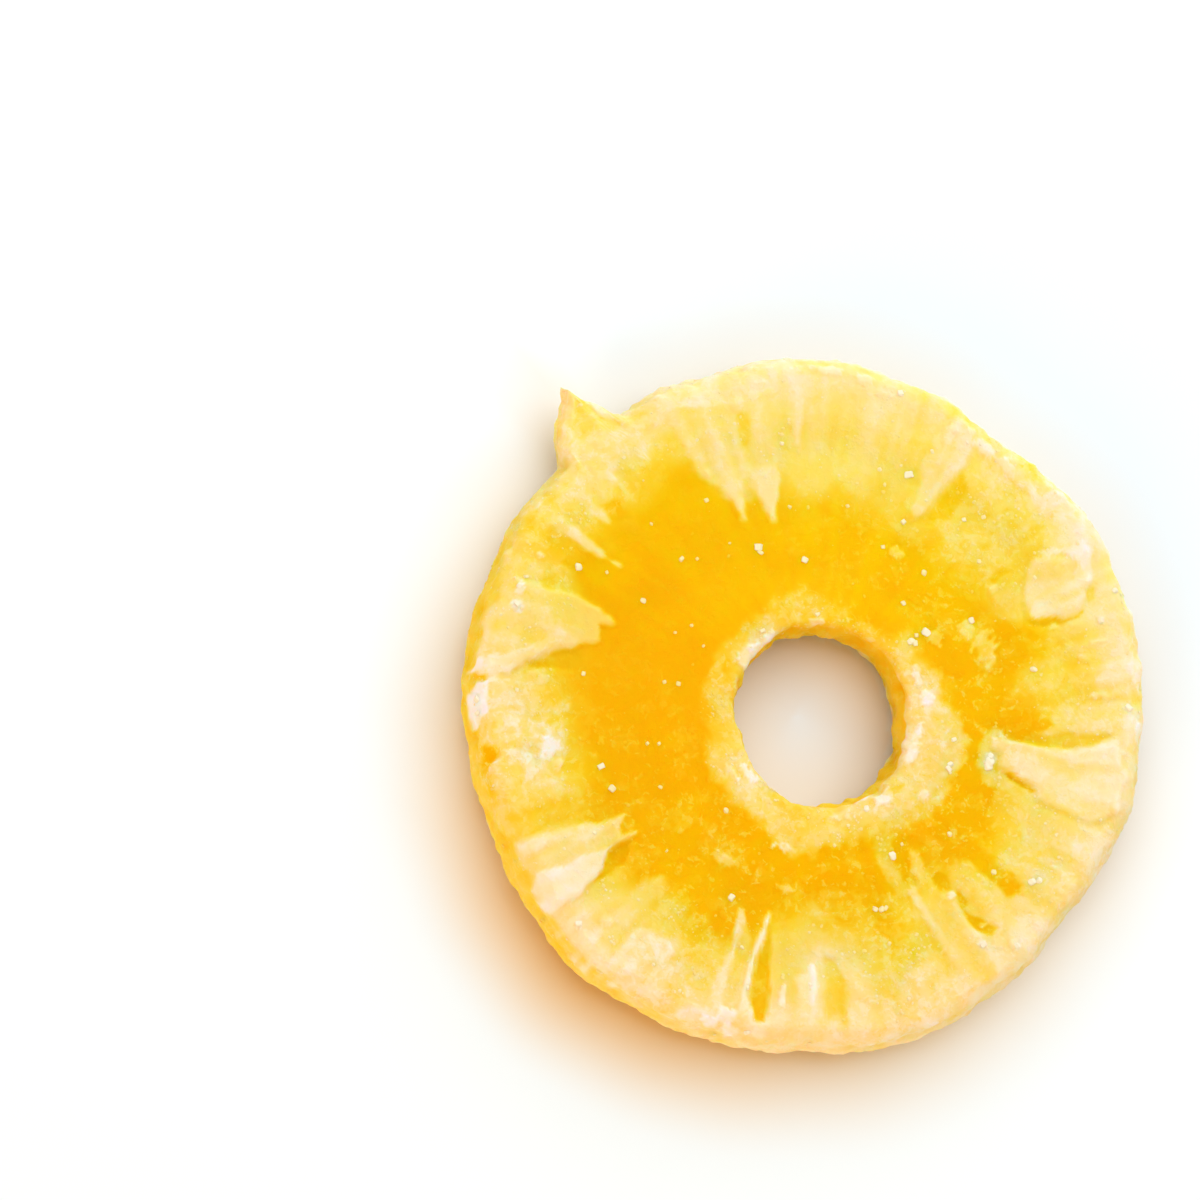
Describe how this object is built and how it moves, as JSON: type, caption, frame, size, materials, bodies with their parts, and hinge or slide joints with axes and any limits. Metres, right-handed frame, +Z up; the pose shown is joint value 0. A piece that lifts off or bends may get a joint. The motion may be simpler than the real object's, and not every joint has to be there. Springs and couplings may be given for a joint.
{
  "type": "candied pineapple ring",
  "caption": "Flat ring of candied pineapple with an off-centre cored hole, raised wedges of flesh on its sugared face, a rounded crusted rim and a thin torn flap.",
  "frame": {"origin": "centre of the ring's bounding box, on the surface it lies on", "axes": "+Z up out of the sugared face, +X and +Y in the plane of the ring, with the torn flap at about 128 degrees from +X"},
  "size_m": [0.0816, 0.082, 0.0101],
  "materials": {
    "candied_flesh": "translucent golden candied flesh, pale towards the rim and the hole, with a satin sugar frost",
    "sugar_crystals": "small translucent off-white sugar crystals with glossy faces"
  },
  "bodies": {
    "root": {"pineapple_ring": "candied_flesh"}
  },
  "joints": []
}
